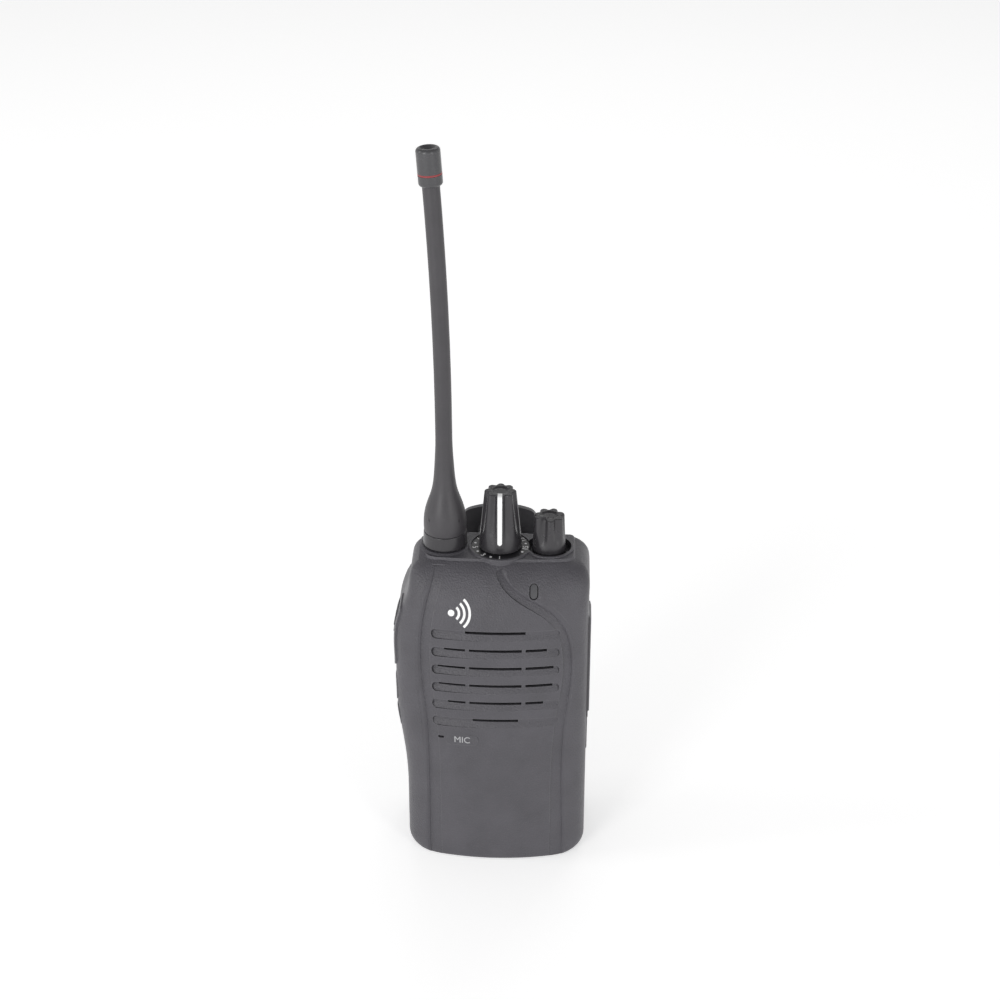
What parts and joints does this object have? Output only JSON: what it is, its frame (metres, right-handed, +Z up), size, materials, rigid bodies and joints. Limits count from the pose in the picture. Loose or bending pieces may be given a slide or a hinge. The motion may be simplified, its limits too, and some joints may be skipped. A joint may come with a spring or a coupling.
{
  "type": "handheld two-way radio",
  "caption": "Handheld two-way radio with whip antenna, channel and volume knobs, talk key, louvred speaker grille, socket cover, slide-off battery and sprung belt clip.",
  "frame": {"origin": "centre of the flat bottom that the radio stands on", "axes": "+X to the right as the grille faces the viewer, +Y from the grille to the belt clip, +Z up along the antenna"},
  "size_m": [0.0634, 0.0442, 0.2398],
  "materials": {
    "case_plastic": "fine moulded grain",
    "die_cast": "bead-blasted die casting",
    "seal_rubber": "matte",
    "screw_steel": "black zinc",
    "lens": "smoky translucent",
    "dial_print": "printed",
    "net_cloth": "woven",
    "steel_plate": "black coat",
    "cone_film": "thin film",
    "alu_can": "satin",
    "board_green": "solder mask",
    "tin_plate": "tinned",
    "socket_plastic": "moulded",
    "flex_amber": "polyimide",
    "gold_plate": "gold plated",
    "switch_body": "moulded",
    "nut_brass": "nickel plated",
    "led_white": "epoxy",
    "knob_plastic": "satin gloss",
    "white_print": "filled white",
    "shaft_steel": "turned",
    "antenna_rubber": "matte moulded",
    "spring_brass": "drawn",
    "tip_rubber": "satin",
    "red_band": "coloured ring",
    "key_rubber": "moulded",
    "cover_plastic": "moulded",
    "pack_plastic": "fine moulded grain",
    "cell_wrap": "film wrap",
    "label_film": "blank label",
    "spring_steel": "drawn wire",
    "clip_plastic": "glass-filled"
  },
  "bodies": {
    "case": {"front_case": "case_plastic", "rear_chassis": "die_cast", "main_seal": "seal_rubber", "chassis_screws": "screw_steel", "led_lens": "lens", "led_chip": "led_white", "channel_dial": "dial_print", "speaker_net": "net_cloth", "speaker_frame": "steel_plate", "speaker_cone": "cone_film", "speaker_magnet": "steel_plate", "mic_boot": "seal_rubber", "mic_capsule": "alu_can", "main_board": "board_green", "shield_cans": "tin_plate", "jack_block": "socket_plastic", "key_switch_board": "flex_amber", "key_switches": "tin_plate", "terminal_block": "socket_plastic", "terminal_springs": "gold_plate", "channel_switch": "switch_body", "volume_switch": "switch_body", "control_nuts": "nut_brass", "control_seals": "seal_rubber", "antenna_jack": "nut_brass", "latch_spring": "spring_steel", "clip_bracket": "screw_steel", "clip_screws": "screw_steel", "clip_pin": "shaft_steel", "clip_spring": "spring_steel"},
    "antenna": {"antenna_base": "knob_plastic", "antenna_sheath": "antenna_rubber", "antenna_radiator": "spring_brass", "antenna_tip": "tip_rubber", "antenna_band": "red_band", "antenna_plug": "nut_brass"},
    "channel_control": {"channel_knob": "knob_plastic", "pointer_inlay": "white_print", "channel_shaft": "shaft_steel"},
    "volume_control": {"volume_knob": "knob_plastic", "volume_shaft": "shaft_steel"},
    "talk_button": {"talk_key": "key_rubber"},
    "upper_button": {"upper_side_key": "key_rubber"},
    "lower_button": {"lower_side_key": "key_rubber"},
    "socket_cover": {"jack_cover": "cover_plastic", "cover_screw": "screw_steel"},
    "battery": {"battery_case": "pack_plastic", "battery_lid": "pack_plastic", "battery_cells": "cell_wrap", "battery_board": "board_green", "battery_terminals": "gold_plate", "charge_contacts": "gold_plate", "battery_label": "label_film"},
    "latch": {"battery_latch": "pack_plastic"},
    "clip": {"clip_lever": "clip_plastic"}
  },
  "joints": [
    {"name": "antenna_turn", "type": "hinge", "parent": "case", "child": "antenna", "pos_m": [-0.0166, 0.002, 0.115], "axis": [0, 0, 1], "range_deg": [0, 360]},
    {"name": "channel_turn", "type": "hinge", "parent": "case", "child": "channel_control", "pos_m": [0.001, 0.001, 0.11], "axis": [0, 0, 1], "range_deg": [-300, 0]},
    {"name": "volume_turn", "type": "hinge", "parent": "case", "child": "volume_control", "pos_m": [0.0165, 0.001, 0.109], "axis": [0, 0, 1], "range_deg": [-300, 0]},
    {"name": "talk_press", "type": "slide", "parent": "case", "child": "talk_button", "axis": [1, 0, 0], "range_m": [0, 0.0008], "stiffness_N_per_m": 2500, "springref_m": -0.0008},
    {"name": "upper_press", "type": "slide", "parent": "case", "child": "upper_button", "axis": [1, 0, 0], "range_m": [0, 0.0004], "stiffness_N_per_m": 3000, "springref_m": -0.0005},
    {"name": "lower_press", "type": "slide", "parent": "case", "child": "lower_button", "axis": [1, 0, 0], "range_m": [0, 0.0004], "stiffness_N_per_m": 3000, "springref_m": -0.0005},
    {"name": "cover_swing", "type": "hinge", "parent": "case", "child": "socket_cover", "pos_m": [0.0294, 0.00195, 0.071], "axis": [0, 0, 1], "range_deg": [0, 100]},
    {"name": "battery_slide", "type": "slide", "parent": "case", "child": "battery", "axis": [0, 0, -1], "range_m": [0, 0.006]},
    {"name": "latch_slide", "type": "slide", "parent": "case", "child": "latch", "axis": [0, -1, 0], "range_m": [0, 0.003]},
    {"name": "clip_squeeze", "type": "hinge", "parent": "case", "child": "clip", "pos_m": [0, 0.0209, 0.101], "axis": [1, 0, 0], "range_deg": [0, 12], "stiffness_Nm_per_rad": 0.25, "springref_deg": -20.05}
  ],
  "couplings": [
    {"joint": "latch_slide", "follows": "battery_slide", "ratio": 0.5}
  ]
}
